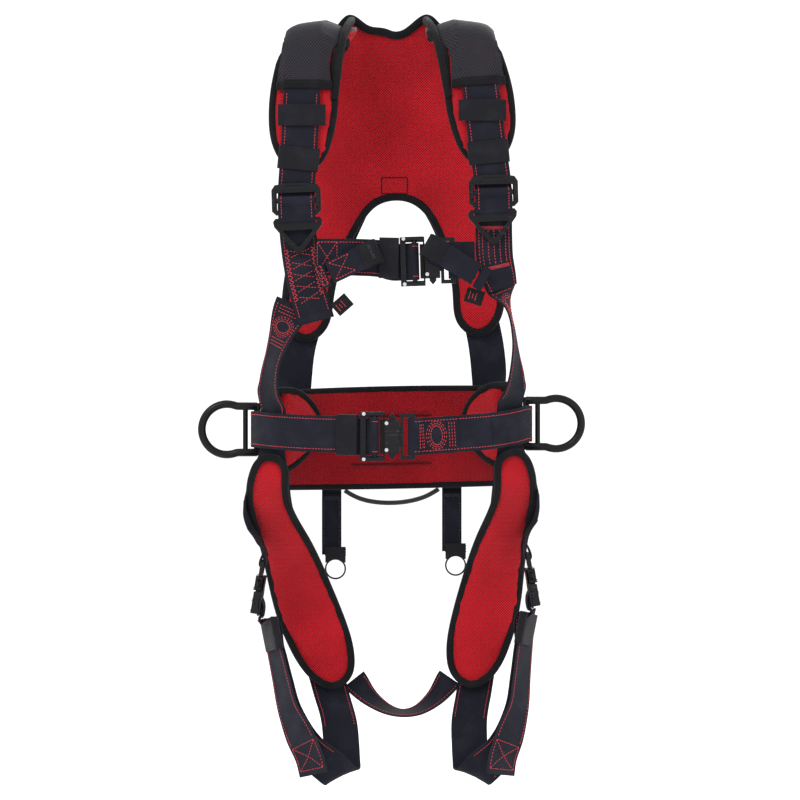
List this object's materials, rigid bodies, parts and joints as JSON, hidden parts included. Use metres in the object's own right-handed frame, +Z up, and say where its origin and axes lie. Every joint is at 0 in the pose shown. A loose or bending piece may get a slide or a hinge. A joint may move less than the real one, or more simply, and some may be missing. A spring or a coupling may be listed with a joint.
{
  "type": "full-body safety harness",
  "caption": "Full-body work harness with padded back, belt and leg loops, quick-release buckles, strap adjusters, and rings at the hips, chest and back.",
  "frame": {"origin": "midway between the two shoulder crests, in the wearer's frontal middle plane", "axes": "+Z up, -Y towards the wearer's front, +X to the right of someone facing the wearer"},
  "size_m": [0.4846, 0.2638, 0.9652],
  "materials": {
    "red_mesh": "spacer mesh lining with black bound edges",
    "black_webbing": "woven, satin",
    "elastic": "ribbed elastic",
    "mesh_cover": "open mesh",
    "cord": "braided",
    "black_steel": "satin black coating",
    "bright_rivet": "polished heads",
    "black_plastic": "moulded"
  },
  "bodies": {
    "harness": {"back_pad": "red_mesh", "waist_pad": "red_mesh", "waist_belt": "black_webbing", "waist_belt_end": "black_webbing", "seat_strap": "black_webbing", "gear_loop": "cord", "elastic_keepers": "elastic", "tags": "black_webbing", "dorsal_plate": "black_steel", "buckle_slide_bars": "black_steel", "buckle_rivets": "bright_rivet", "shoulder_pad_left": "red_mesh", "hip_pad_left": "red_mesh", "leg_pad_left": "red_mesh", "shoulder_cover_left": "mesh_cover", "shoulder_strap_left": "black_webbing", "front_strap_left": "black_webbing", "leg_strap_left": "black_webbing", "back_strap_left": "black_webbing", "chest_strap_left": "black_webbing", "adjuster_frame_left": "black_steel", "shoulder_pad_right": "red_mesh", "hip_pad_right": "red_mesh", "leg_pad_right": "red_mesh", "shoulder_cover_right": "mesh_cover", "shoulder_strap_right": "black_webbing", "front_strap_right": "black_webbing", "leg_strap_right": "black_webbing", "back_strap_right": "black_webbing", "chest_strap_right": "black_webbing", "adjuster_frame_right": "black_steel", "chest_buckle_body": "black_steel", "waist_buckle_body": "black_steel", "leg_left_buckle_body": "black_steel", "leg_right_buckle_body": "black_steel"},
    "side_ring_left": {"side_ring_left": "black_steel"},
    "side_ring_right": {"side_ring_right": "black_steel"},
    "dorsal_ring": {"dorsal_ring": "black_steel"},
    "triangle_ring_left": {"triangle_ring_left": "black_steel"},
    "triangle_ring_right": {"triangle_ring_right": "black_steel"},
    "sternal_loop_left": {"sternal_loop_left": "black_webbing"},
    "sternal_loop_right": {"sternal_loop_right": "black_webbing"},
    "tool_strap_left": {"tool_strap_left": "black_webbing", "tool_ring_left": "black_plastic"},
    "tool_strap_right": {"tool_strap_right": "black_webbing", "tool_ring_right": "black_plastic"},
    "adjuster_bar_left": {"adjuster_bar_left": "black_steel"},
    "adjuster_bar_right": {"adjuster_bar_right": "black_steel"},
    "chest_buckle_tongue": {"chest_buckle_tongue": "black_steel"},
    "chest_buckle_tab_upper": {"chest_buckle_tab_upper": "black_steel"},
    "chest_buckle_tab_lower": {"chest_buckle_tab_lower": "black_steel"},
    "waist_buckle_tongue": {"waist_buckle_tongue": "black_steel"},
    "waist_buckle_tab_upper": {"waist_buckle_tab_upper": "black_steel"},
    "waist_buckle_tab_lower": {"waist_buckle_tab_lower": "black_steel"},
    "leg_left_buckle_tongue": {"leg_left_buckle_tongue": "black_steel"},
    "leg_left_buckle_tab_upper": {"leg_left_buckle_tab_upper": "black_steel"},
    "leg_left_buckle_tab_lower": {"leg_left_buckle_tab_lower": "black_steel"},
    "leg_right_buckle_tongue": {"leg_right_buckle_tongue": "black_steel"},
    "leg_right_buckle_tab_upper": {"leg_right_buckle_tab_upper": "black_steel"},
    "leg_right_buckle_tab_lower": {"leg_right_buckle_tab_lower": "black_steel"}
  },
  "joints": [
    {"name": "side_ring_left_swing", "type": "hinge", "parent": "harness", "child": "side_ring_left", "pos_m": [-0.1683, 0.004, -0.50665], "axis": [0, 0, 1], "range_deg": [-40, 40]},
    {"name": "side_ring_right_swing", "type": "hinge", "parent": "harness", "child": "side_ring_right", "pos_m": [0.1683, 0.004, -0.49935], "axis": [0, 0, 1], "range_deg": [-40, 40]},
    {"name": "dorsal_ring_fold", "type": "hinge", "parent": "harness", "child": "dorsal_ring", "pos_m": [0.003, 0.121, -0.135], "axis": [1, 0, 0], "range_deg": [-2, 165]},
    {"name": "triangle_ring_left_swing", "type": "hinge", "parent": "harness", "child": "triangle_ring_left", "pos_m": [-0.11392, -0.1055, -0.25297], "axis": [-0.9988, 0, -0.0499], "range_deg": [0, 85]},
    {"name": "triangle_ring_right_swing", "type": "hinge", "parent": "harness", "child": "triangle_ring_right", "pos_m": [0.12308, -0.1055, -0.24253], "axis": [-0.9988, 0, -0.0499], "range_deg": [0, 85]},
    {"name": "sternal_loop_left_lift", "type": "hinge", "parent": "harness", "child": "sternal_loop_left", "pos_m": [-0.076, -0.1125, -0.316], "axis": [0.4068, -0.1184, -0.9058], "range_deg": [0, 70], "stiffness_Nm_per_rad": 0.1},
    {"name": "sternal_loop_right_lift", "type": "hinge", "parent": "harness", "child": "sternal_loop_right", "pos_m": [0.104, -0.118, -0.318], "axis": [0.4794, 0.1774, 0.8595], "range_deg": [0, 70], "stiffness_Nm_per_rad": 0.1},
    {"name": "tool_strap_left_swing", "type": "hinge", "parent": "harness", "child": "tool_strap_left", "pos_m": [-0.077, 0.1025, -0.58987], "axis": [1, 0, 0], "range_deg": [-15, 75]},
    {"name": "tool_strap_right_swing", "type": "hinge", "parent": "harness", "child": "tool_strap_right", "pos_m": [0.077, 0.1025, -0.58613], "axis": [1, 0, 0], "range_deg": [-15, 75]},
    {"name": "adjuster_bar_left_slide", "type": "slide", "parent": "harness", "child": "adjuster_bar_left", "axis": [-0.03, 0, 0.9996], "range_m": [0, 0.0034]},
    {"name": "adjuster_bar_right_slide", "type": "slide", "parent": "harness", "child": "adjuster_bar_right", "axis": [-0.03, 0, 0.9996], "range_m": [0, 0.0034]},
    {"name": "chest_buckle_tongue_slide", "type": "slide", "parent": "harness", "child": "chest_buckle_tongue", "axis": [0.9996, 0, 0.03], "range_m": [0, 0.02], "deforming": ["chest_strap_right"]},
    {"name": "chest_buckle_tab_upper_press", "type": "slide", "parent": "harness", "child": "chest_buckle_tab_upper", "axis": [0.03, 0, -0.9996], "range_m": [0, 0.003], "stiffness_N_per_m": 500},
    {"name": "chest_buckle_tab_lower_press", "type": "slide", "parent": "harness", "child": "chest_buckle_tab_lower", "axis": [-0.03, 0, 0.9996], "range_m": [0, 0.003], "stiffness_N_per_m": 500},
    {"name": "waist_buckle_tongue_slide", "type": "slide", "parent": "harness", "child": "waist_buckle_tongue", "axis": [1, 0, 0], "range_m": [0, 0.02], "deforming": ["waist_belt_end"]},
    {"name": "waist_buckle_tab_upper_press", "type": "slide", "parent": "harness", "child": "waist_buckle_tab_upper", "axis": [0, 0, -1], "range_m": [0, 0.003], "stiffness_N_per_m": 500},
    {"name": "waist_buckle_tab_lower_press", "type": "slide", "parent": "harness", "child": "waist_buckle_tab_lower", "axis": [0, 0, 1], "range_m": [0, 0.003], "stiffness_N_per_m": 500},
    {"name": "leg_left_buckle_tongue_slide", "type": "slide", "parent": "harness", "child": "leg_left_buckle_tongue", "axis": [0.1701, 0, 0.9854], "range_m": [0, 0.015]},
    {"name": "leg_left_buckle_tab_upper_press", "type": "slide", "parent": "harness", "child": "leg_left_buckle_tab_upper", "axis": [0, -1, 0], "range_m": [0, 0.003], "stiffness_N_per_m": 500},
    {"name": "leg_left_buckle_tab_lower_press", "type": "slide", "parent": "harness", "child": "leg_left_buckle_tab_lower", "axis": [0, 1, 0], "range_m": [0, 0.003], "stiffness_N_per_m": 500},
    {"name": "leg_right_buckle_tongue_slide", "type": "slide", "parent": "harness", "child": "leg_right_buckle_tongue", "axis": [-0.1701, 0, 0.9854], "range_m": [0, 0.015]},
    {"name": "leg_right_buckle_tab_upper_press", "type": "slide", "parent": "harness", "child": "leg_right_buckle_tab_upper", "axis": [0, 1, 0], "range_m": [0, 0.003], "stiffness_N_per_m": 500},
    {"name": "leg_right_buckle_tab_lower_press", "type": "slide", "parent": "harness", "child": "leg_right_buckle_tab_lower", "axis": [0, -1, 0], "range_m": [0, 0.003], "stiffness_N_per_m": 500}
  ]
}
